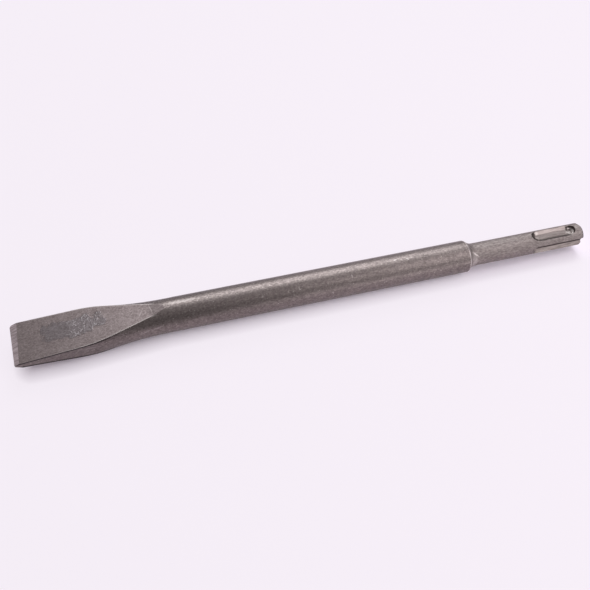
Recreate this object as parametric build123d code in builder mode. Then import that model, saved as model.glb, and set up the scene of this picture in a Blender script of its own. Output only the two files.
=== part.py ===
from build123d import *
from math import cos, radians, sin, sqrt, tan
import os

# Flat chisel bit for a rotary hammer, forged and turned from one steel bar.
# Its axis runs along X, with the cutting edge at the low end and the slotted shank at the high end.
# It lies on Z = 0 with the blade's flats level. Distances are measured from the cutting edge.

# Bar
overall_length = 250.0
body_diameter = 14.0
shank_diameter = 10.0

# Blade: two flats that close in towards the edge, between sides that spread a little
edge_width = 18.8
side_taper = 1.35
edge_thickness = 2.6
facet_length = 53.0
facet_thickness = 12.5
flat_length = 59.5
near_corner_radius = 0.5
far_corner_radius = 1.0

# Ground cutting edge: two bevels down to a narrow land, turned a little about the axis
bevel_angle = 28.5
land_thickness = 0.5
grinding_turn = 1.4

# Flare: where the round bar spreads sideways into the blade. Its forged skin stays a hair under the
# turned body.
shoulder_distance = 19.5
shoulder_width = 18.6
edge_spread = 1.8
run_out_length = 4.0
forging_allowance = 0.03
side_flattening = 1.6
blade_stations = 3
flare_stations = 5

# Neck between body and shank
body_length = 192.4
body_edge_radius = 0.8
shoulder_angle = 40.0
neck_radius = 5.5

# Shank end
end_taper_length = 1.2
end_diameter = 8.4

# Closed locking grooves, in line with the flats
groove_length = 22.1
groove_end_distance = 3.55
groove_width = 5.5
groove_floor_width = 2.0
groove_depth = 1.65
groove_end_run = 2.4
pocket_length = 3.5
pocket_width = 4.6
pocket_end_distance = 3.7
pocket_depth = 0.4
pocket_corner_radius = 2.2
pocket_floor_radius = 1.1

# Open drive slots, in line with the blade's sides
slot_length = 25.3
slot_width = 4.6
slot_floor_width = 2.0
slot_depth = 2.0

# Derived places
body_radius = body_diameter / 2
shank_radius = shank_diameter / 2
forged_radius = body_radius - forging_allowance
tip_x = -overall_length / 2
axis_height = body_radius
blade_length = flat_length + run_out_length
side_slope = tan(radians(side_taper))
facet_slope = (forged_radius - facet_thickness / 2) / (flat_length - facet_length)
blade_end_thickness = 2 * (forged_radius + facet_slope * (blade_length - flat_length))

# Planes through the axis: one seen from the side, one from above, with X from the cutting edge
side_plane = Plane(origin=(tip_x, 0, axis_height), x_dir=(1, 0, 0), z_dir=(0, -1, 0))
plan_plane = Plane(origin=(tip_x, 0, axis_height), x_dir=(1, 0, 0), z_dir=(0, 0, 1))
turn = radians(grinding_turn)
grinding_plane = Plane(origin=(tip_x, 0, axis_height), x_dir=(1, 0, 0), z_dir=(0, -cos(turn), sin(turn)))


def section_plane(distance):
    return Plane(origin=(tip_x + distance, 0, axis_height), x_dir=(0, 1, 0), z_dir=(1, 0, 0))


def flare_half_width(distance):
    # An S curve from the bar's radius, where the flats run out, to the shoulder, and a straight spread
    # from there to the edge
    if distance < shoulder_distance:
        return (shoulder_width + edge_spread * (1 - distance / shoulder_distance)) / 2
    way = (flat_length - distance) / (flat_length - shoulder_distance)
    return forged_radius + (shoulder_width / 2 - forged_radius) * way * way * (3 - 2 * way)


def side_arc_radius(half_width):
    # The side is the bar's own arc at first and grows flatter as the blade spreads
    return forged_radius + side_flattening * (half_width - forged_radius) ** 3


with BuildPart() as chisel:
    # The flare is lofted through lens-shaped sections that end in a short run of round bar
    blade_step = shoulder_distance / blade_stations
    flare_step = (flat_length - shoulder_distance) / flare_stations
    stations = [i * blade_step for i in range(blade_stations)]
    stations += [shoulder_distance + i * flare_step for i in range(flare_stations + 1)]
    stations += [flat_length + run_out_length / 2, blade_length]
    for distance in stations:
        half_width = flare_half_width(min(distance, flat_length))
        arc_radius = side_arc_radius(half_width)
        ridge = sqrt(arc_radius**2 - (arc_radius - half_width) ** 2)
        with BuildSketch(section_plane(distance)):
            with BuildLine():
                ThreePointArc((0, -ridge), (half_width, 0), (0, ridge))
                ThreePointArc((0, ridge), (-half_width, 0), (0, -ridge))
            make_face()
    loft()

    # Sides, seen from above
    with BuildSketch(plan_plane) as outline:
        with BuildLine():
            half_edge = edge_width / 2
            half_back = half_edge - blade_length * side_slope
            Polyline(
                (0, -half_edge),
                (0, half_edge),
                (blade_length, half_back),
                (blade_length, -half_back),
                close=True,
            )
        make_face()
        edge_corners = outline.vertices().group_by(Axis.X)[0].sort_by(Axis.Y)
        fillet(edge_corners[0], radius=near_corner_radius)
        edge_corners = outline.vertices().sort_by(Axis.Y)
        fillet(edge_corners[-1], radius=far_corner_radius)
    extrude(amount=body_diameter, both=True, mode=Mode.INTERSECT)

    # Flats, seen from the side
    with BuildSketch(side_plane):
        with BuildLine():
            Polyline(
                (0, edge_thickness / 2),
                (facet_length, facet_thickness / 2),
                (blade_length, blade_end_thickness / 2),
                (blade_length, -blade_end_thickness / 2),
                (facet_length, -facet_thickness / 2),
                (0, -edge_thickness / 2),
                close=True,
            )
        make_face()
    extrude(amount=edge_width, both=True, mode=Mode.INTERSECT)

    # Bevels of the cutting edge
    with BuildSketch(grinding_plane):
        with BuildLine():
            bevel_end_thickness = land_thickness + 2 * blade_length * tan(radians(bevel_angle))
            Polyline(
                (0, land_thickness / 2),
                (blade_length, bevel_end_thickness / 2),
                (blade_length, -bevel_end_thickness / 2),
                (0, -land_thickness / 2),
                close=True,
            )
        make_face()
    extrude(amount=edge_width, both=True, mode=Mode.INTERSECT)

    # Round body, neck and shank, turned about the axis
    with BuildSketch(plan_plane) as turning:
        with BuildLine():
            shoulder_run = (body_radius - shank_radius) / tan(radians(shoulder_angle))
            Polyline(
                (blade_length, 0),
                (blade_length, body_radius),
                (body_length, body_radius),
                (body_length + shoulder_run, shank_radius),
                (overall_length - end_taper_length, shank_radius),
                (overall_length, end_diameter / 2),
                (overall_length, 0),
                close=True,
            )
        make_face()
        corners = turning.vertices().sort_by(Axis.X)
        fillet(corners[2], radius=body_edge_radius)
        root = turning.vertices().sort_by_distance((body_length + shoulder_run, shank_radius))[0]
        fillet(root, radius=neck_radius)
    revolve(axis=Axis((0, 0, axis_height), (1, 0, 0)))

    # Locking grooves, above and below: a trough with sloping walls, and a deeper pocket with a steep round
    # wall at its end
    groove_middle = overall_length - groove_end_distance - groove_length / 2
    floor_height = shank_radius - groove_depth
    edge_height = sqrt(shank_radius**2 - (groove_width / 2) ** 2)
    wall_spread = (groove_width - groove_floor_width) / (edge_height - floor_height)
    end_spread = 2 * groove_end_run / groove_depth
    pocket_end = overall_length - pocket_end_distance
    for up in (1, -1):
        groove_plane = Plane(origin=(tip_x, 0, axis_height), x_dir=(1, 0, 0), z_dir=(0, 0, up))
        for height in (floor_height, body_radius):
            trough_length = groove_length + end_spread * (height - shank_radius)
            trough_width = groove_floor_width + wall_spread * (height - floor_height)
            with BuildSketch(groove_plane.offset(height)):
                with Locations((groove_middle, 0)):
                    SlotOverall(trough_length, trough_width)
        loft(ruled=True, mode=Mode.SUBTRACT)
        with BuildPart(mode=Mode.PRIVATE) as pocket:
            with BuildSketch(groove_plane.offset(floor_height - pocket_depth)) as pocket_plan:
                with Locations((pocket_end - pocket_length / 2, 0)):
                    Rectangle(pocket_length, pocket_width)
                fillet(pocket_plan.vertices().group_by(Axis.X)[-1], radius=pocket_corner_radius)
            extrude(amount=shank_radius)
            pocket_floor = pocket.faces().sort_by(Axis.Z)[0 if up > 0 else -1]
            fillet(pocket_floor.edges().sort_by(Axis.X)[1:], radius=pocket_floor_radius)
        add(pocket.part, mode=Mode.SUBTRACT)

    # Drive slots, on both sides, open at the end, with flanks that spread outwards
    slot_floor_height = shank_radius - slot_depth
    slot_edge_height = sqrt(shank_radius**2 - (slot_width / 2) ** 2)
    flank_spread = (slot_width - slot_floor_width) / (slot_edge_height - slot_floor_height)
    for side in (1, -1):
        slot_plane = Plane(origin=(tip_x, 0, axis_height), x_dir=(1, 0, 0), z_dir=(0, side, 0))
        for height in (slot_floor_height, body_radius):
            width = slot_floor_width + flank_spread * (height - slot_floor_height)
            with BuildSketch(slot_plane.offset(height)):
                with Locations((overall_length, 0)):
                    SlotOverall(2 * slot_length + width - slot_width, width)
        loft(ruled=True, mode=Mode.SUBTRACT)
    chisel.part.label = "chisel"

os.makedirs("parts", exist_ok=True)
export_step(chisel.part, "parts/chisel.step")
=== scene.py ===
import bpy
import bmesh
from math import cos, radians, sin
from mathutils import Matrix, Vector


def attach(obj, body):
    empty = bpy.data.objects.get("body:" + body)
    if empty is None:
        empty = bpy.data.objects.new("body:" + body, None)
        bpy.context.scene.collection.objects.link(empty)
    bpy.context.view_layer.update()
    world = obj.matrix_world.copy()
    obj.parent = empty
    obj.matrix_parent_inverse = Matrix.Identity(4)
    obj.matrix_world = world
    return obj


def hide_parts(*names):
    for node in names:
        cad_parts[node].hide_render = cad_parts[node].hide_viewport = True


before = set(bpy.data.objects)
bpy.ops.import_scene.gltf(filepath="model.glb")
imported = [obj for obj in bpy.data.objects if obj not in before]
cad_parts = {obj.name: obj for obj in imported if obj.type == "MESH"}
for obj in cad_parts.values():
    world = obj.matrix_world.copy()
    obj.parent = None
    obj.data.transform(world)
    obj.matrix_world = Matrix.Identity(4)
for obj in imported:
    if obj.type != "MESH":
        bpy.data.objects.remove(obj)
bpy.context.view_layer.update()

# Sizes are in millimetres unless a note says otherwise. A place along the bar is its X, which counts from the
# bar's middle towards the shank's end, and a pair of places is where something fades in or out.
axisHeight = 7.0  # the bar's axis over the floor


def mm(*sizes):
    scaled = tuple(size / 1000 for size in sizes)
    return scaled if len(scaled) > 1 else scaled[0]


def hexColor(code):  # sRGB hex to Blender's linear colour
    channels = [int(code[i:i + 2], 16) / 255 for i in (1, 3, 5)]
    linear = [c / 12.92 if c <= 0.04045 else ((c + 0.055) / 1.055) ** 2.4 for c in channels]
    return (*linear, 1.0)


def addNode(tree, kind, settings=None, **links):  # links: socket name, or i and its number -> value or output
    node = tree.nodes.new(kind)
    for name, value in (settings or {}).items():
        setattr(node, name, value)
    for name, value in links.items():
        numbered = name[0] == "i" and name[1:].isdigit()
        socket = node.inputs[int(name[1:])] if numbered else node.inputs[name.replace("_", " ")]
        if isinstance(value, bpy.types.NodeSocket):
            tree.links.new(value, socket)
        else:
            socket.default_value = value
    return node


def perMm(size):  # texture scale for a pattern that repeats about every so many millimetres
    return 1000 / size


def newMaterial(name):
    material = bpy.data.materials.new(name)
    material.use_nodes = True
    tree = material.node_tree
    tree.nodes.clear()
    return material, tree


# The bar is chrome-vanadium tool steel, a dark neutral grey metal that looks a little warm when dull.
# Every finish has blotches, specks and grit, and rubs brighter along its edges.
steel = {
    "grainDetail": 2.0,
    "grainRoughness": 0.6,
    "toneSpan": (0.38, 0.62),  # where the mixed grain is darkest and lightest
    "glintReach": (0.28, 0.10),  # in cells: where a glint begins and where it is full
    "glintPick": (0.6, 1.1),  # few cells have one, and fewer a bright one
    "glintHeight": 0.015,
    "rubSmooths": -0.12,  # how much less rough the rubbed edges are
    "wobbleMm": 1.6,
    "wobble": (0.5, 1.6, 0),  # how far a mark's edge strays, in its own half length and half width
    "markEdge": (1.0, 0.45),  # in the mark's own half size
    "markHeight": -0.01,
}


def mottledSteel(name, finish):
    material, tree = newMaterial(name)
    place = addNode(tree, "ShaderNodeTexCoord").outputs["Object"]
    drawn = addNode(tree, "ShaderNodeMapping", Vector=place, Scale=finish["drawOut"]).outputs["Vector"]
    tone, height = 0.0, 0.0
    for size, share, depth in zip(finish["grainMm"], finish["shares"], finish["depthMm"]):
        noise = addNode(
            tree, "ShaderNodeTexNoise", Vector=drawn, Scale=perMm(size),
            Detail=steel["grainDetail"], Roughness=steel["grainRoughness"],
        ).outputs["Fac"]
        tone = addNode(
            tree, "ShaderNodeMath", {"operation": "MULTIPLY_ADD"}, i0=noise, i1=share, i2=tone
        ).outputs[0]
        height = addNode(
            tree, "ShaderNodeMath", {"operation": "MULTIPLY_ADD"}, i0=noise, i1=depth, i2=height
        ).outputs[0]
    darkest, lightest = steel["toneSpan"]
    share = addNode(tree, "ShaderNodeMapRange", Value=tone, From_Min=darkest, From_Max=lightest).outputs["Result"]
    colour = addNode(
        tree, "ShaderNodeMix", {"data_type": "RGBA"},
        i0=share, i6=hexColor(finish["dark"]), i7=hexColor(finish["light"]),
    ).outputs[2]
    return material, tree, place, share, colour, height


def addGlints(tree, place, finish, colour, height):  # painted glints: single dents and grains, thinly scattered, painted lighter to stand in for their sparkle
    cells = addNode(tree, "ShaderNodeTexVoronoi", Vector=place, Scale=perMm(finish["glintMm"]))
    start, full = steel["glintReach"]
    dot = addNode(
        tree, "ShaderNodeMapRange", Value=cells.outputs["Distance"], From_Min=start, From_Max=full
    ).outputs["Result"]
    fewest, brightest = steel["glintPick"]
    pick = addNode(tree, "ShaderNodeSeparateXYZ", Vector=cells.outputs["Color"]).outputs["X"]
    pick = addNode(tree, "ShaderNodeMapRange", Value=pick, From_Min=fewest, From_Max=brightest).outputs["Result"]
    mask = addNode(tree, "ShaderNodeMath", {"operation": "MULTIPLY"}, i0=dot, i1=pick).outputs[0]
    colour = addNode(
        tree, "ShaderNodeMix", {"data_type": "RGBA"}, i0=mask, i6=colour, i7=hexColor(finish["glint"])
    ).outputs[2]
    height = addNode(
        tree, "ShaderNodeMath", {"operation": "MULTIPLY_ADD"}, i0=mask, i1=steel["glintHeight"], i2=height
    ).outputs[0]
    return colour, height


def coverSteel(tree, finish, share, colour, height):  # rubbed edges, roughness, relief and the shader itself
    worn = addNode(tree, "ShaderNodeAttribute", {"attribute_name": "worn"}).outputs["Fac"]
    rubbed = addNode(tree, "ShaderNodeMath", {"operation": "MULTIPLY"}, i0=worn, i1=finish["rub"]).outputs[0]
    colour = addNode(
        tree, "ShaderNodeMix", {"data_type": "RGBA"}, i0=rubbed, i6=colour, i7=hexColor(finish["rubbed"])
    ).outputs[2]
    smoothest, roughest = finish["roughness"]
    rough = addNode(tree, "ShaderNodeMapRange", Value=share, To_Min=roughest, To_Max=smoothest).outputs["Result"]
    rough = addNode(
        tree, "ShaderNodeMath", {"operation": "MULTIPLY_ADD"}, i0=rubbed, i1=steel["rubSmooths"], i2=rough
    ).outputs[0]
    bump = addNode(tree, "ShaderNodeBump", Height=height, Distance=mm(1)).outputs["Normal"]
    shader = addNode(
        tree, "ShaderNodeBsdfPrincipled", Base_Color=colour, Metallic=1.0, Roughness=rough, Normal=bump
    ).outputs["BSDF"]
    addNode(tree, "ShaderNodeOutputMaterial", Surface=shader)


def drawMark(tree, place, mark, colour, height):  # one scratch, nick or worn spot, with a ragged edge
    turned = addNode(
        tree, "ShaderNodeMapping", {"vector_type": "TEXTURE"}, Vector=place,
        Location=mm(*mark["middle"]), Rotation=[radians(angle) for angle in mark["turn"]],
        Scale=mm(mark["length"] / 2, mark["width"] / 2, mark["deep"] / 2),
    ).outputs["Vector"]
    wobble = addNode(tree, "ShaderNodeTexNoise", Vector=place, Scale=perMm(steel["wobbleMm"]), Detail=1.0)
    shaken = addNode(
        tree, "ShaderNodeVectorMath", {"operation": "MULTIPLY_ADD"},
        i0=wobble.outputs["Color"], i1=steel["wobble"], i2=turned,
    ).outputs["Vector"]
    centred = addNode(
        tree, "ShaderNodeVectorMath", {"operation": "SUBTRACT"}, i0=shaken, i1=[way / 2 for way in steel["wobble"]]
    ).outputs["Vector"]
    far = addNode(tree, "ShaderNodeVectorMath", {"operation": "LENGTH"}, i0=centred).outputs["Value"]
    outer, inner = steel["markEdge"]
    mask = addNode(
        tree, "ShaderNodeMapRange", Value=far, From_Min=outer, From_Max=inner, To_Max=mark["strength"]
    ).outputs["Result"]
    colour = addNode(
        tree, "ShaderNodeMix", {"data_type": "RGBA"}, i0=mask, i6=colour, i7=hexColor(mark["colour"])
    ).outputs[2]
    height = addNode(
        tree, "ShaderNodeMath", {"operation": "MULTIPLY_ADD"}, i0=mask, i1=steel["markHeight"], i2=height
    ).outputs[0]
    return colour, height


# Shot-blasted steel: many tiny dents spread the highlight into a dull, sparkling sheen. The dents are
# about 0.1 mm across, and are drawn as coarse as they need to be to show.
blasted = {
    "dark": "#6c6261",
    "light": "#8a7e7d",
    "drawOut": (0.7, 1, 1),
    "grainMm": (6.0, 1.0, 0.6),  # blotches, specks and grit
    "shares": (0.1, 0.3, 0.6),
    "depthMm": (0.015, 0.024, 0.034),
    "roughness": (0.40, 0.50),
    "glintMm": 1.0,
    "glint": "#b7adab",
    "rub": 0.8,
    "rubbed": "#c4b9b9",
    # painted shade under the flats' rims:
    "rimShade": "#352e30",
    "rimAlong": (-125, -72),  # the flats' rim, at the edge and at the back
    "rimHeight": (1.3, 6.25),  # its height there, from the axis
    "rimShadeWide": (1.0, 0.5),  # below the rim
    "rimShadeEnd": (-80, -92),
    "sideTone": 0.9,  # the flare's sides are darker than the bar
    "sideStart": (-66, -86),
    "shoulderShadeTone": 0.74,  # how far the painted shade darkens the flare's shoulders
    "shoulderShadeAside": (2.4, 4.2),
    "shoulderShadeAbove": (2.6, 3.8),
    "shoulderShadeStart": (-96, -90),
    "shoulderShadeEnd": (0, -60),
}
bodyHighlightAndMarks = [  # a painted highlight at the streak's start, then scratches along the flare's side and nicks on the body
    # painted highlight where the bar's reflected streak begins
    {"middle": (-58.5, 1.0, 14.0), "turn": (0, 0, 0), "length": 17.0, "width": 1.8, "deep": 4,
     "colour": "#c9bfbd", "strength": 0.27},
    {"middle": (-74.6, -6.7, 8.9), "turn": (0, -15, 0), "length": 7, "width": 4, "deep": 0.9,
     "colour": "#b5aaab", "strength": 0.35},
    {"middle": (-69.4, -6.4, 9.6), "turn": (0, -12, 0), "length": 6, "width": 4, "deep": 0.9,
     "colour": "#b5aaab", "strength": 0.3},
    {"middle": (-95.9, -9.0, 8.3), "turn": (0, 8, 0), "length": 6, "width": 4, "deep": 0.7,
     "colour": "#b5aaab", "strength": 0.45},
    {"middle": (-26.2, -3.8, 12.9), "turn": (0, 0, 30), "length": 1.4, "width": 0.7, "deep": 3,
     "colour": "#c4baba", "strength": 0.35},
    {"middle": (-10.4, -3.5, 13.0), "turn": (0, 0, 80), "length": 1.9, "width": 0.7, "deep": 3,
     "colour": "#c4baba", "strength": 0.45},
    {"middle": (12.9, -2.8, 13.4), "turn": (0, 0, 85), "length": 1.9, "width": 0.7, "deep": 3,
     "colour": "#c4baba", "strength": 0.45},
    {"middle": (33.2, 0.3, 14.0), "turn": (0, 0, 20), "length": 1.8, "width": 1.0, "deep": 3,
     "colour": "#ccc2c1", "strength": 0.4},
    {"middle": (38.9, -0.1, 14.0), "turn": (0, 0, -50), "length": 2.0, "width": 1.0, "deep": 3,
     "colour": "#ccc2c1", "strength": 0.45},
    {"middle": (3.7, -6.4, 9.7), "turn": (0, 20, 0), "length": 1.8, "width": 3, "deep": 0.8,
     "colour": "#c4baba", "strength": 0.3},
]


def blastedSteel():
    material, tree, place, share, colour, height = mottledSteel("shotBlastedSteel", blasted)
    colour, height = addGlints(tree, place, blasted, colour, height)
    for mark in bodyHighlightAndMarks:
        colour, height = drawMark(tree, place, mark, colour, height)
    parts = addNode(tree, "ShaderNodeSeparateXYZ", Vector=place)
    along = parts.outputs["X"]
    up = addNode(
        tree, "ShaderNodeMath", {"operation": "SUBTRACT"}, i0=parts.outputs["Z"], i1=mm(axisHeight)
    ).outputs[0]
    above = addNode(tree, "ShaderNodeMath", {"operation": "ABSOLUTE"}, i0=up).outputs[0]
    # painted shade: a dark line just under the rim of each flat
    edge, back = mm(*blasted["rimAlong"])
    low, high = mm(*blasted["rimHeight"])
    rim = addNode(
        tree, "ShaderNodeMapRange", Value=along, From_Min=edge, From_Max=back, To_Min=low, To_Max=high
    ).outputs["Result"]
    below = addNode(tree, "ShaderNodeMath", {"operation": "SUBTRACT"}, i0=rim, i1=above).outputs[0]
    clean, full = mm(*blasted["rimShadeWide"])
    line = addNode(tree, "ShaderNodeMapRange", Value=below, From_Min=clean, From_Max=full).outputs["Result"]
    clean, full = mm(*blasted["rimShadeEnd"])
    reach = addNode(tree, "ShaderNodeMapRange", Value=along, From_Min=clean, From_Max=full).outputs["Result"]
    line = addNode(tree, "ShaderNodeMath", {"operation": "MULTIPLY"}, i0=line, i1=reach).outputs[0]
    # the sides of the flare, darker than the bar
    clean, full = mm(*blasted["sideStart"])
    side = addNode(
        tree, "ShaderNodeMapRange", Value=along, From_Min=clean, From_Max=full,
        To_Min=1.0, To_Max=blasted["sideTone"],
    ).outputs["Result"]
    colour = addNode(
        tree, "ShaderNodeVectorMath", {"operation": "SCALE"}, i0=colour, Scale=side
    ).outputs["Vector"]
    # painted shade on the flare's shoulders, fading along the bar
    aside = addNode(tree, "ShaderNodeMath", {"operation": "ABSOLUTE"}, i0=parts.outputs["Y"]).outputs[0]
    clean, full = mm(*blasted["shoulderShadeAside"])
    aside = addNode(tree, "ShaderNodeMapRange", Value=aside, From_Min=clean, From_Max=full).outputs["Result"]
    clean, full = mm(*blasted["shoulderShadeAbove"])
    above = addNode(tree, "ShaderNodeMapRange", Value=above, From_Min=clean, From_Max=full).outputs["Result"]
    shoulder = addNode(tree, "ShaderNodeMath", {"operation": "MULTIPLY"}, i0=aside, i1=above).outputs[0]
    clean, full = mm(*blasted["shoulderShadeStart"])
    start = addNode(tree, "ShaderNodeMapRange", Value=along, From_Min=clean, From_Max=full).outputs["Result"]
    clean, full = mm(*blasted["shoulderShadeEnd"])
    end = addNode(tree, "ShaderNodeMapRange", Value=along, From_Min=clean, From_Max=full).outputs["Result"]
    shoulderShadeMask = addNode(tree, "ShaderNodeMath", {"operation": "MINIMUM"}, i0=start, i1=end).outputs[0]
    shoulderShadeMask = addNode(tree, "ShaderNodeMath", {"operation": "MULTIPLY"}, i0=shoulderShadeMask, i1=shoulder).outputs[0]
    # painted shade: darker over the shoulders near the flare
    shoulderShade = addNode(
        tree, "ShaderNodeMapRange", Value=shoulderShadeMask, To_Min=1.0, To_Max=blasted["shoulderShadeTone"]
    ).outputs["Result"]
    colour = addNode(
        tree, "ShaderNodeVectorMath", {"operation": "SCALE"}, i0=colour, Scale=shoulderShade
    ).outputs["Vector"]
    # painted shade: the dark line under each flat's rim
    colour = addNode(
        tree, "ShaderNodeMix", {"data_type": "RGBA"}, i0=line, i6=colour, i7=hexColor(blasted["rimShade"])
    ).outputs[2]
    coverSteel(tree, blasted, share, colour, height)
    return material


# Forged flats: pressed smooth under the hammer while hot, so they are drawn out along the blade, browner
# than the body, with an irregular patch of blue-grey scale that broke off in flakes
forged = {
    "dark": "#7c6f6f",
    "light": "#9e9091",
    "drawOut": (0.65, 1, 1),
    "grainMm": (3.0, 0.8, 0.5),  # blotches, specks and grit
    "shares": (0.2, 0.25, 0.55),
    "depthMm": (0.012, 0.012, 0.02),
    "roughness": (0.42, 0.52),
    "glintMm": 1.0,
    "glint": "#b5a9a8",
    "rub": 0.85,
    "rubbed": "#c6bbba",
    "tipTone": 0.9,
    "middleTone": 1.04,
    "facetShadeTone": 0.78,  # painted shade on the steeper facet, up to the point
    "tipToMiddle": (-122, -84),
    "middleToEnd": (-73, -70.6),
    "scaleTint": (0.80, 0.83, 0.86),  # linear, how scale dims and cools the steel under it
    "scaleMiddle": (-101.5, 1.0, 7),
    "scaleReach": (12.5, 4.4, 40),
    "scaleRaggedMm": 4.0,
    "scaleRagged": 1.8,
    "scaleEdge": (1.95, 1.8),
    "scaleRimTone": 0.78,
    "scaleHeight": 0.035,
    "flakeMm": 1.1,
    "flakeGlintColour": "#aaa2a5",
    "flakePick": (0.54, 0.66),
    "flakeFrom": (-106, -99),  # most lie in the patch's rear half
    "flakeShares": (0.15, 0.8),
    "flakeHeight": 0.06,
}
flatHighlightAndMarks = [  # a painted highlight along the line where the facet changes slope, and stray scratches
    # painted highlight along the facet's change of slope
    {"middle": (-71.0, 0.6, 13.2), "turn": (0, 0, 99), "length": 6.0, "width": 0.6, "deep": 3,
     "colour": "#bdb0b0", "strength": 0.5},
    {"middle": (-74.9, -0.2, 13.2), "turn": (0, 0, 57), "length": 7.6, "width": 0.55, "deep": 3,
     "colour": "#b3a6a6", "strength": 0.55},
    {"middle": (-78.4, 0.4, 13.2), "turn": (0, 0, 50), "length": 5.0, "width": 0.5, "deep": 3,
     "colour": "#b3a6a6", "strength": 0.4},
    {"middle": (-89.0, -3.0, 12.5), "turn": (0, 0, 35), "length": 4.0, "width": 0.5, "deep": 3,
     "colour": "#b3a6a6", "strength": 0.4},
    {"middle": (-92.4, 2.3, 12.0), "turn": (0, 0, 100), "length": 3.4, "width": 0.7, "deep": 3,
     "colour": "#5c5355", "strength": 0.6},
]


def forgedSteel():
    material, tree, place, share, colour, height = mottledSteel("forgedFlatSteel", forged)
    colour, height = addGlints(tree, place, forged, colour, height)
    along = addNode(tree, "ShaderNodeSeparateXYZ", Vector=place).outputs["X"]
    tip, middle = mm(*forged["tipToMiddle"])
    rise = addNode(
        tree, "ShaderNodeMapRange", Value=along, From_Min=tip, From_Max=middle,
        To_Min=forged["tipTone"], To_Max=forged["middleTone"],
    ).outputs["Result"]
    # painted shade darkens the steeper facet up to the point
    middle, end = mm(*forged["middleToEnd"])
    fall = addNode(
        tree, "ShaderNodeMapRange", Value=along, From_Min=middle, From_Max=end,
        To_Min=forged["middleTone"], To_Max=forged["facetShadeTone"],
    ).outputs["Result"]
    tone = addNode(tree, "ShaderNodeMath", {"operation": "MINIMUM"}, i0=rise, i1=fall).outputs[0]
    colour = addNode(
        tree, "ShaderNodeVectorMath", {"operation": "SCALE"}, i0=colour, Scale=tone
    ).outputs["Vector"]
    # the scale patch: an oval with a ragged rim
    oval = addNode(
        tree, "ShaderNodeMapping", {"vector_type": "TEXTURE"}, Vector=place,
        Location=mm(*forged["scaleMiddle"]), Scale=mm(*forged["scaleReach"]),
    ).outputs["Vector"]
    out = addNode(tree, "ShaderNodeVectorMath", {"operation": "LENGTH"}, i0=oval).outputs["Value"]
    ragged = addNode(
        tree, "ShaderNodeTexNoise", Vector=place, Scale=perMm(forged["scaleRaggedMm"]), Detail=4.0, Roughness=0.65
    ).outputs["Fac"]
    edge = addNode(
        tree, "ShaderNodeMath", {"operation": "MULTIPLY_ADD"}, i0=ragged, i1=forged["scaleRagged"], i2=out
    ).outputs[0]
    outer, inner = forged["scaleEdge"]
    patch = addNode(tree, "ShaderNodeMapRange", Value=edge, From_Min=outer, From_Max=inner).outputs["Result"]
    scaled = addNode(
        tree, "ShaderNodeVectorMath", {"operation": "MULTIPLY"}, i0=colour, i1=forged["scaleTint"]
    ).outputs["Vector"]
    colour = addNode(tree, "ShaderNodeMix", {"data_type": "RGBA"}, i0=patch, i6=colour, i7=scaled).outputs[2]
    # its rim is darkest, and flakes inside its rear half are painted lighter as glints where they catch the light
    rim = addNode(tree, "ShaderNodeMath", {"operation": "PINGPONG"}, i0=patch, i1=0.5).outputs[0]
    dim = addNode(
        tree, "ShaderNodeMapRange", Value=rim, From_Max=0.5, To_Min=1.0, To_Max=forged["scaleRimTone"]
    ).outputs["Result"]
    colour = addNode(
        tree, "ShaderNodeVectorMath", {"operation": "SCALE"}, i0=colour, Scale=dim
    ).outputs["Vector"]
    flake = addNode(
        tree, "ShaderNodeTexNoise", Vector=place, Scale=perMm(forged["flakeMm"]), Detail=3.0, Roughness=0.7
    ).outputs["Fac"]
    least, most = forged["flakePick"]
    chip = addNode(tree, "ShaderNodeMapRange", Value=flake, From_Min=least, From_Max=most).outputs["Result"]
    front, rear = mm(*forged["flakeFrom"])
    fewest, most = forged["flakeShares"]
    rear = addNode(
        tree, "ShaderNodeMapRange", Value=along, From_Min=front, From_Max=rear, To_Min=fewest, To_Max=most
    ).outputs["Result"]
    glint = addNode(tree, "ShaderNodeMath", {"operation": "MULTIPLY"}, i0=patch, i1=chip).outputs[0]
    glint = addNode(tree, "ShaderNodeMath", {"operation": "MULTIPLY"}, i0=glint, i1=rear).outputs[0]
    colour = addNode(
        tree, "ShaderNodeMix", {"data_type": "RGBA"}, i0=glint, i6=colour, i7=hexColor(forged["flakeGlintColour"])
    ).outputs[2]
    height = addNode(
        tree, "ShaderNodeMath", {"operation": "MULTIPLY_ADD"}, i0=patch, i1=forged["scaleHeight"], i2=height
    ).outputs[0]
    height = addNode(
        tree, "ShaderNodeMath", {"operation": "MULTIPLY_ADD"}, i0=glint, i1=forged["flakeHeight"], i2=height
    ).outputs[0]
    for mark in flatHighlightAndMarks:
        colour, height = drawMark(tree, place, mark, colour, height)
    coverSteel(tree, forged, share, colour, height)
    return material


# Ground cutting edge: cut bright by a coarse wheel, which leaves lines across the bevel from the edge
# inwards. They are about 0.2 mm apart, and are drawn twice as coarse to show.
ground = {
    "dark": "#877a7d",
    "light": "#b4a6aa",
    "drawOut": (0.12, 1, 0.12),
    "grainMm": (2.5, 0.5, 0.45),  # blotches and two widths of line
    "shares": (0.2, 0.5, 0.3),
    "depthMm": (0.01, 0.02, 0.02),
    "roughness": (0.42, 0.52),
    "rub": 0.5,
    "rubbed": "#d8cccd",
}


def groundSteel():
    material, tree, place, share, colour, height = mottledSteel("groundEdgeSteel", ground)
    coverSteel(tree, ground, share, colour, height)
    return material


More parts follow.
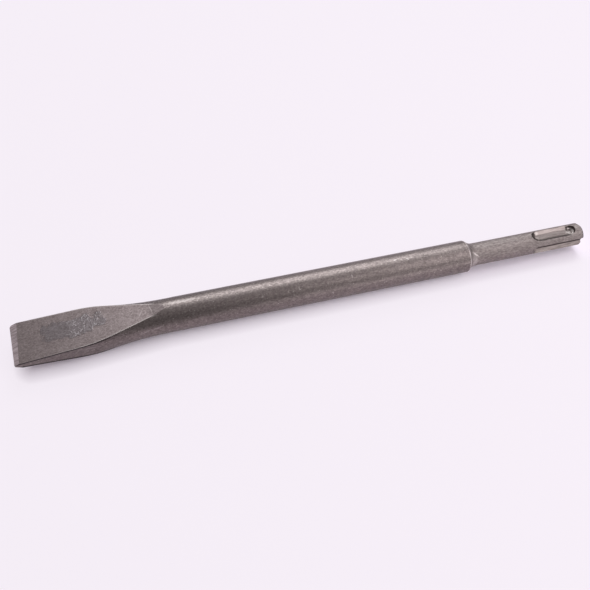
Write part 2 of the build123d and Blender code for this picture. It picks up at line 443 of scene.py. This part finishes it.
# Turned and ground shank: lighter and finer than the body, rubbed by the tool holder along its length
turned = {
    "dark": "#7c7170",
    "light": "#978c8b",
    "drawOut": (0.4, 1, 1),
    "grainMm": (3.0, 1.0, 0.5),  # blotches, specks and grit
    "shares": (0.15, 0.35, 0.5),
    "depthMm": (0.012, 0.024, 0.03),
    "roughness": (0.52, 0.62),
    "rub": 0.5,
    "rubbed": "#d2c7c6",
    "struckEnd": 123.7,  # past here the hammer's ram has burnished the end
    "struckFade": 0.3,
    "struckShare": 0.8,
    "burnished": "#d0c5c4",
}
neckReflectionAndNick = [  # the fillet, painted lighter as its reflection of the bright floor, and a nick across it
    # painted reflection of the bright floor on the fillet
    {"middle": (69.6, -3.2, 8.6), "turn": (0, 0, 0), "length": 6.0, "width": 7.0, "deep": 9,
     "colour": "#c4b9b8", "strength": 0.6},
    {"middle": (70.7, -3.0, 11.2), "turn": (0, 0, -30), "length": 6.4, "width": 0.8, "deep": 4,
     "colour": "#d6cbca", "strength": 0.8},
]


def turnedSteel():
    material, tree, place, share, colour, height = mottledSteel("turnedShankSteel", turned)
    for mark in neckReflectionAndNick:
        colour, height = drawMark(tree, place, mark, colour, height)
    along = addNode(tree, "ShaderNodeSeparateXYZ", Vector=place).outputs["X"]
    start, full = mm(turned["struckEnd"], turned["struckEnd"] + turned["struckFade"])
    struck = addNode(
        tree, "ShaderNodeMapRange", Value=along, From_Min=start, From_Max=full, To_Max=turned["struckShare"]
    ).outputs["Result"]
    colour = addNode(
        tree, "ShaderNodeMix", {"data_type": "RGBA"}, i0=struck, i6=colour, i7=hexColor(turned["burnished"])
    ).outputs[2]
    coverSteel(tree, turned, share, colour, height)
    return material


# Milled grooves and slots: the cutter leaves long fine lines and a cleaner, brighter floor
milled = {
    "dark": "#7c706f",
    "light": "#9d918f",
    "drawOut": (0.15, 1, 1),
    "grainMm": (2.5, 0.8, 0.5),  # blotches, and lines of two widths
    "shares": (0.3, 0.5, 0.2),
    "depthMm": (0.01, 0.025, 0.02),
    "roughness": (0.38, 0.46),
    "rub": 0.6,
    "rubbed": "#c9bebd",
    "pocketMiddle": (119.1, 0, axisHeight),
    "pocketHighlightRing": (1.55, 2.2),  # from that middle: a painted highlight, where the fillet at the foot of the pocket's end wall catches the light
    "ringFade": 0.2,
    "ringHalf": (-0.3, 0.3),  # only past the middle
    "ringSide": (1.6, 0.8),  # and little on the far side
    "ringLeast": 0.1,
    "ringHighlight": "#ddd3d1",
    "grooveStart": (102.1, 0, axisHeight),  # middle of the groove's round front end
    "grooveHeight": (2.5, 2.9),  # over the axis: what lies lower is in the slots
    "grooveShade": "#453d3c",  # painted shade under the rims, in the grooves and slots
    "grooveShadeShare": 0.9,
    "wallShade": (1.5, 2.3),  # from the groove's middle line
    "wallSide": (0.4, -0.4),  # the near wall
    "frontShade": (0.7, 1.8),
    "frontEnd": (0.4, -0.6),
    "floorShade": (1.3, 0.9),
    "floorShadeShare": 0.2,
    "creaseAside": 1.15,
    "creaseHalf": 0.2,
    "creaseShare": 0.35,
    "slotCorner": (-1.1, -0.7),
}
grooveHighlightsAndShade = [  # painted highlights at both ends of the groove's floor, and painted shade in the pocket's far corner
    # painted highlights at the groove's two ends, then painted shade in the pocket's far corner
    {"middle": (102.9, 1.9, 10.6), "turn": (0, 0, 0), "length": 2.4, "width": 1.5, "deep": 3,
     "colour": "#b8aeac", "strength": 0.8},
    {"middle": (118.3, -0.35, 10.2), "turn": (0, 0, 0), "length": 3.4, "width": 1.8, "deep": 3,
     "colour": "#b4aaa8", "strength": 0.9},
    {"middle": (118.3, 1.5, 10.4), "turn": (0, 0, 0), "length": 1.9, "width": 1.6, "deep": 3,
     "colour": "#2f2928", "strength": 0.9},
]


def milledSteel():
    material, tree, place, share, colour, height = mottledSteel("milledGrooveSteel", milled)
    # the pocket's ring: a painted highlight
    around = addNode(
        tree, "ShaderNodeVectorMath", {"operation": "SUBTRACT"}, i0=place, i1=mm(*milled["pocketMiddle"])
    ).outputs["Vector"]
    flat = addNode(
        tree, "ShaderNodeVectorMath", {"operation": "MULTIPLY"}, i0=around, i1=(1, 1, 0)
    ).outputs["Vector"]
    out = addNode(tree, "ShaderNodeVectorMath", {"operation": "LENGTH"}, i0=flat).outputs["Value"]
    inner, outer = milled["pocketHighlightRing"]
    start, full = mm(inner, inner + milled["ringFade"])
    rise = addNode(tree, "ShaderNodeMapRange", Value=out, From_Min=start, From_Max=full).outputs["Result"]
    start, full = mm(outer, outer - milled["ringFade"])
    fall = addNode(tree, "ShaderNodeMapRange", Value=out, From_Min=start, From_Max=full).outputs["Result"]
    ring = addNode(tree, "ShaderNodeMath", {"operation": "MINIMUM"}, i0=rise, i1=fall).outputs[0]
    around = addNode(tree, "ShaderNodeSeparateXYZ", Vector=around)
    start, full = mm(*milled["ringHalf"])
    past = addNode(
        tree, "ShaderNodeMapRange", Value=around.outputs["X"], From_Min=start, From_Max=full
    ).outputs["Result"]
    ring = addNode(tree, "ShaderNodeMath", {"operation": "MULTIPLY"}, i0=ring, i1=past).outputs[0]
    start, full = mm(*milled["ringSide"])
    nearSide = addNode(
        tree, "ShaderNodeMapRange", Value=around.outputs["Y"], From_Min=start, From_Max=full,
        To_Min=milled["ringLeast"],
    ).outputs["Result"]
    ring = addNode(tree, "ShaderNodeMath", {"operation": "MULTIPLY"}, i0=ring, i1=nearSide).outputs[0]
    # painted shade along the near wall and the front end of each groove
    parts = addNode(
        tree, "ShaderNodeVectorMath", {"operation": "SUBTRACT"}, i0=place, i1=mm(*milled["grooveStart"])
    ).outputs["Vector"]
    parts = addNode(tree, "ShaderNodeSeparateXYZ", Vector=parts)
    along, aside, up = (parts.outputs[axis] for axis in "XYZ")
    ahead = addNode(tree, "ShaderNodeMath", {"operation": "MINIMUM"}, i0=along, i1=0.0).outputs[0]
    across = addNode(tree, "ShaderNodeCombineXYZ", X=ahead, Y=aside).outputs["Vector"]
    across = addNode(tree, "ShaderNodeVectorMath", {"operation": "LENGTH"}, i0=across).outputs["Value"]
    clean, full = mm(*milled["wallShade"])
    wall = addNode(tree, "ShaderNodeMapRange", Value=across, From_Min=clean, From_Max=full).outputs["Result"]
    clean, full = mm(*milled["frontShade"])
    wide = addNode(tree, "ShaderNodeMapRange", Value=across, From_Min=clean, From_Max=full).outputs["Result"]
    clean, full = mm(*milled["frontEnd"])
    front = addNode(tree, "ShaderNodeMapRange", Value=along, From_Min=clean, From_Max=full).outputs["Result"]
    clean, full = mm(*milled["wallSide"])
    near = addNode(tree, "ShaderNodeMapRange", Value=aside, From_Min=clean, From_Max=full).outputs["Result"]
    front = addNode(tree, "ShaderNodeMath", {"operation": "MULTIPLY"}, i0=front, i1=wide).outputs[0]
    near = addNode(tree, "ShaderNodeMath", {"operation": "MULTIPLY"}, i0=near, i1=wall).outputs[0]
    shadeMask = addNode(tree, "ShaderNodeMath", {"operation": "MAXIMUM"}, i0=front, i1=near).outputs[0]
    # and fainter painted shade on the floor, up to the foot of the far wall
    crease = addNode(
        tree, "ShaderNodeMath", {"operation": "COMPARE"},
        i0=aside, i1=mm(milled["creaseAside"]), i2=mm(milled["creaseHalf"]),
    ).outputs[0]
    clean, full = mm(*milled["floorShade"])
    floorShadeMask = addNode(
        tree, "ShaderNodeMapRange", Value=aside, From_Min=clean, From_Max=full, To_Max=milled["floorShadeShare"]
    ).outputs["Result"]
    floorShadeMask = addNode(
        tree, "ShaderNodeMath", {"operation": "MULTIPLY_ADD"}, i0=crease, i1=milled["creaseShare"], i2=floorShadeMask
    ).outputs[0]
    shadeMask = addNode(tree, "ShaderNodeMath", {"operation": "MAXIMUM"}, i0=shadeMask, i1=floorShadeMask).outputs[0]
    # the grooves lie above and below the axis; each slot has painted shade in its upper corner instead
    upright = addNode(tree, "ShaderNodeMath", {"operation": "ABSOLUTE"}, i0=up).outputs[0]
    start, full = mm(*milled["grooveHeight"])
    inGroove = addNode(tree, "ShaderNodeMapRange", Value=upright, From_Min=start, From_Max=full).outputs["Result"]
    ring = addNode(tree, "ShaderNodeMath", {"operation": "MULTIPLY"}, i0=ring, i1=inGroove).outputs[0]
    # painted highlight on the pocket's ring
    colour = addNode(
        tree, "ShaderNodeMix", {"data_type": "RGBA"}, i0=ring, i6=colour, i7=hexColor(milled["ringHighlight"])
    ).outputs[2]
    clean, full = mm(*milled["slotCorner"])
    corner = addNode(tree, "ShaderNodeMapRange", Value=up, From_Min=clean, From_Max=full).outputs["Result"]
    shadeMask = addNode(
        tree, "ShaderNodeMix", {"data_type": "FLOAT"}, i0=inGroove, i2=corner, i3=shadeMask
    ).outputs[0]
    shadeMask = addNode(
        tree, "ShaderNodeMath", {"operation": "MULTIPLY"}, i0=shadeMask, i1=milled["grooveShadeShare"]
    ).outputs[0]
    # painted shade in the grooves and slots
    colour = addNode(
        tree, "ShaderNodeMix", {"data_type": "RGBA"}, i0=shadeMask, i6=colour, i7=hexColor(milled["grooveShade"])
    ).outputs[2]
    for mark in grooveHighlightsAndShade:
        colour, height = drawMark(tree, place, mark, colour, height)
    coverSteel(tree, milled, share, colour, height)
    return material


# The chisel's skin is a merged copy of the solid with its sharp edges worn round. A tilt is the share of a
# face's normal that points along the axis that it is named for.
skin = {
    "mergeMm": 0.04,  # also closes the hair's step between flare and body
    "sameFace": 0.4,  # degrees
    "rimMm": 0.45,  # bright rubbed rim around the flats
    "sharpEdge": 24,  # degrees
    "edgeWearMm": 0.18,
    "rubStart": -122.0,
    "bevelEnd": -117.0,
    "bevelTiltX": 0.3,
    "bevelTiltY": 0.5,
    "bladeEnd": -65.0,
    "flatTiltX": (-0.12, -0.08),
    "flatTiltY": 0.01,
    "collarStart": 66.5,
    "collarEnd": 67.6,
    "collarTiltX": 0.15,
    "shankStart": 67.5,
    "shankRadius": 5.0,
    "cutDepth": 0.15,  # this far under the shank's surface a face belongs to a groove or slot
    "endTiltX": 0.95,
}
finishes = {
    "body": blastedSteel(),
    "flat": forgedSteel(),
    "bevel": groundSteel(),
    "shank": turnedSteel(),
    "groove": milledSteel(),
}
print("steel finishes done")


def finishOf(face):  # which of the finishes a face of the solid has
    middle, normal = face.calc_center_median() * 1000, face.normal
    lowTilt, highTilt = skin["flatTiltX"]
    if middle.x < skin["bevelEnd"] and abs(normal.x) > skin["bevelTiltX"] and abs(normal.y) < skin["bevelTiltY"]:
        return "bevel"
    if middle.x < skin["bladeEnd"] and abs(normal.y) < skin["flatTiltY"] and lowTilt < normal.x < highTilt:
        return "flat"
    if middle.x > skin["shankStart"]:
        radius = Vector((middle.y, middle.z - axisHeight)).length
        cut = radius < skin["shankRadius"] - skin["cutDepth"] and abs(normal.x) < skin["endTiltX"]
        return "groove" if cut else "shank"
    return "body"


def isCollarEdge(face):  # the body's rounded end, rubbed by the dust cap of the hammer
    middle = face.calc_center_median() * 1000
    return skin["collarStart"] < middle.x < skin["collarEnd"] and face.normal.x > skin["collarTiltX"]


def wornSkin(node):
    bm = bmesh.new()
    bm.from_mesh(node.data)
    worn = bm.verts.layers.float.new("worn")
    bmesh.ops.remove_doubles(bm, verts=bm.verts, dist=mm(skin["mergeMm"]))
    bmesh.ops.dissolve_limit(bm, angle_limit=radians(skin["sameFace"]), verts=bm.verts, edges=bm.edges)
    order = list(finishes)
    for face in bm.faces:
        face.material_index = order.index(finishOf(face))
    flat = order.index("flat")
    flats = [face for face in bm.faces if face.material_index == flat]
    bmesh.ops.inset_region(bm, faces=flats, thickness=mm(skin["rimMm"]), use_even_offset=True)
    sharp = [edge for edge in bm.edges if edge.is_manifold and edge.calc_face_angle() > radians(skin["sharpEdge"])]
    made = bmesh.ops.bevel(
        bm, geom=sharp, affect="EDGES", offset=mm(skin["edgeWearMm"]), segments=2, profile=0.5,
        material=-1, clamp_overlap=True, loop_slide=True,
    )
    rounded = set(made["faces"])
    for vert in bm.verts:  # bright along the middle of each rounded edge, and out to the flats' rim
        inside = [face in rounded for face in vert.link_faces]
        onFlat = any(face.material_index == flat and face not in rounded for face in vert.link_faces)
        if any(inside) and vert.co.x > mm(skin["rubStart"]):
            vert[worn] = 1.0 if all(inside) or onFlat else 0.0
    for face in bm.faces:
        face.smooth = True
        if isCollarEdge(face):
            for vert in face.verts:
                vert[worn] = 1.0
    for edge in bm.edges:  # each finish ends at a crisp line
        edge.smooth = len({face.material_index for face in edge.link_faces}) < 2
    mesh = bpy.data.meshes.new("chiselSkin")
    bm.to_mesh(mesh)
    openEdges = sum(not edge.is_manifold for edge in bm.edges)
    print("skin", len(bm.faces), "faces,", len(sharp), "sharp edges, open edges", openEdges)
    bm.free()
    for finish in finishes.values():
        mesh.materials.append(finish)
    piece = bpy.data.objects.new("chiselSkin", mesh)
    bpy.context.scene.collection.objects.link(piece)
    normals = piece.modifiers.new("evenNormals", "WEIGHTED_NORMAL")
    normals.keep_sharp = True
    return piece


chiselSkin = wornSkin(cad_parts["chisel"])
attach(chiselSkin, "root")
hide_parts("chisel")
print("chisel done")

studio = {
    "floorColour": "#f7f0f8",
    "shadeColour": "#f7ebf9",  # the paper's shaded part, a little more violet
    "floorSize": 12.0,  # metres
    "worldColour": "#ffffff",
    "worldStrength": 0.31,
    "ownLight": 0.9,  # how much of the open floor's colour is painted glow, whatever the lamps do, past the soft shadow
    "shadowMm": (-1.0, 7.6),  # out from the chisel: where the shadow starts to fade and where it ends
    "footHalf": (7.0, 3.9),  # half the width that the chisel covers, at the blade and behind it
    "footAlong": (-105, -65),
    "shadowFront": -119,  # the painted glow rises ahead of here, as the raised tip hardly shades the paper ahead
    "shadowBack": 129,
}

bm = bmesh.new()
bmesh.ops.create_grid(bm, x_segments=1, y_segments=1, size=studio["floorSize"])
floorMesh = bpy.data.meshes.new("floor")
bm.to_mesh(floorMesh)
bm.free()
floor = bpy.data.objects.new("floor", floorMesh)
bpy.context.scene.collection.objects.link(floor)


def paperFloor():  # matt photographic paper, with a painted glow that brightens it to nearly white outside the shadow's core
    material, tree = newMaterial("mattPaper")
    place = addNode(tree, "ShaderNodeTexCoord").outputs["Object"]
    parts = addNode(tree, "ShaderNodeSeparateXYZ", Vector=place)
    along = parts.outputs["X"]
    blade, body = mm(*studio["footAlong"])
    wide, narrow = mm(*studio["footHalf"])
    foot = addNode(
        tree, "ShaderNodeMapRange", Value=along, From_Min=blade, From_Max=body, To_Min=wide, To_Max=narrow
    ).outputs["Result"]
    side = addNode(tree, "ShaderNodeMath", {"operation": "ABSOLUTE"}, i0=parts.outputs["Y"]).outputs[0]
    aside = addNode(tree, "ShaderNodeMath", {"operation": "SUBTRACT"}, i0=side, i1=foot).outputs[0]
    ahead = addNode(
        tree, "ShaderNodeMath", {"operation": "SUBTRACT"}, i0=mm(studio["shadowFront"]), i1=along
    ).outputs[0]
    behind = addNode(
        tree, "ShaderNodeMath", {"operation": "SUBTRACT"}, i0=along, i1=mm(studio["shadowBack"])
    ).outputs[0]
    beyond = addNode(tree, "ShaderNodeMath", {"operation": "MAXIMUM"}, i0=ahead, i1=behind).outputs[0]
    gap = addNode(tree, "ShaderNodeCombineXYZ", X=aside, Y=beyond).outputs["Vector"]
    gap = addNode(tree, "ShaderNodeVectorMath", {"operation": "MAXIMUM"}, i0=gap, i1=(0, 0, 0)).outputs["Vector"]
    away = addNode(tree, "ShaderNodeVectorMath", {"operation": "LENGTH"}, i0=gap).outputs["Value"]
    near, far = mm(*studio["shadowMm"])
    # painted glow: its share rises with distance from the chisel, so the lamps' shadow fades out close to it
    glowShare = addNode(
        tree, "ShaderNodeMapRange", Value=away, From_Min=near, From_Max=far, To_Max=studio["ownLight"]
    ).outputs["Result"]
    # the camera, gloss and glass see the paper's own colour there as painted glow, and light still falls on all of
    # it
    ray = addNode(tree, "ShaderNodeLightPath").outputs
    seen = addNode(
        tree, "ShaderNodeMath", {"operation": "MAXIMUM"}, i0=ray["Is Camera Ray"], i1=ray["Is Glossy Ray"]
    ).outputs[0]
    seen = addNode(
        tree, "ShaderNodeMath", {"operation": "MAXIMUM"}, i0=seen, i1=ray["Is Transmission Ray"]
    ).outputs[0]
    seen = addNode(tree, "ShaderNodeMath", {"operation": "MULTIPLY"}, i0=seen, i1=glowShare).outputs[0]
    matt = addNode(tree, "ShaderNodeBsdfDiffuse", Color=hexColor(studio["shadeColour"])).outputs[0]
    glow = addNode(tree, "ShaderNodeEmission", Color=hexColor(studio["floorColour"])).outputs[0]
    both = addNode(tree, "ShaderNodeMixShader", i0=seen, i1=matt, i2=glow).outputs[0]
    addNode(tree, "ShaderNodeOutputMaterial", Surface=both)
    return material


floor.data.materials.append(paperFloor())
print("floor done")

world = bpy.data.worlds.new("studio")
world.use_nodes = True
background = world.node_tree.nodes["Background"]
background.inputs["Color"].default_value = hexColor(studio["worldColour"])
background.inputs["Strength"].default_value = studio["worldStrength"]
bpy.context.scene.world = world

# Softboxes, aimed at the chisel: azimuth in degrees from +X towards +Y, elevation in degrees, distance and
# size in metres, power in watts
lamps = {
    "backBox": {"azimuth": 69, "elevation": 45, "distance": 1.2, "size": (0.75, 0.75), "power": 8.6,
                "colour": "#f9ffff"},
    "rightBox": {"azimuth": -23, "elevation": 45, "distance": 0.45, "size": (0.4, 0.3), "power": 0.85,
                 "colour": "#ffffff"},
    "frontBox": {"azimuth": -60, "elevation": 6, "distance": 0.42, "size": (0.35, 0.1), "power": 0.27,
                 "colour": "#ffffff"},
    "leftBox": {"azimuth": 146, "elevation": 22, "distance": 1.2, "size": (0.5, 0.4), "power": 0.9,
                "colour": "#ffffff"},
}


def fromDirection(azimuth, elevation, distance):
    a, e = radians(azimuth), radians(elevation)
    return Vector((cos(a) * cos(e), sin(a) * cos(e), sin(e))) * distance


for name, lamp in lamps.items():
    light = bpy.data.lights.new(name, "AREA")
    light.shape = "RECTANGLE"
    light.size, light.size_y = lamp["size"]
    light.energy = lamp["power"]
    light.color = hexColor(lamp["colour"])[:3]
    holder = bpy.data.objects.new(name, light)
    holder.location = fromDirection(lamp["azimuth"], lamp["elevation"], lamp["distance"])
    holder.rotation_euler = (-holder.location).to_track_quat("-Z", "Y").to_euler()
    bpy.context.scene.collection.objects.link(holder)
print("light done")

view = {  # fitted to the chisel's outline in the photograph
    "place": mm(-90.61, -178.40, 285.96),
    "turn": (34.350, -5.075, -16.871),  # degrees
    "lens": 49.72,
    "sensorWidth": 36,
    "nearest": 0.01,  # metres
}
camera = bpy.data.cameras.new("camera")
camera.lens = view["lens"]
camera.sensor_width = view["sensorWidth"]
camera.clip_start = view["nearest"]
cameraHolder = bpy.data.objects.new("camera", camera)
cameraHolder.location = view["place"]
cameraHolder.rotation_euler = [radians(angle) for angle in view["turn"]]
bpy.context.scene.collection.objects.link(cameraHolder)
bpy.context.scene.camera = cameraHolder
bpy.context.scene.view_settings.view_transform = "Standard"
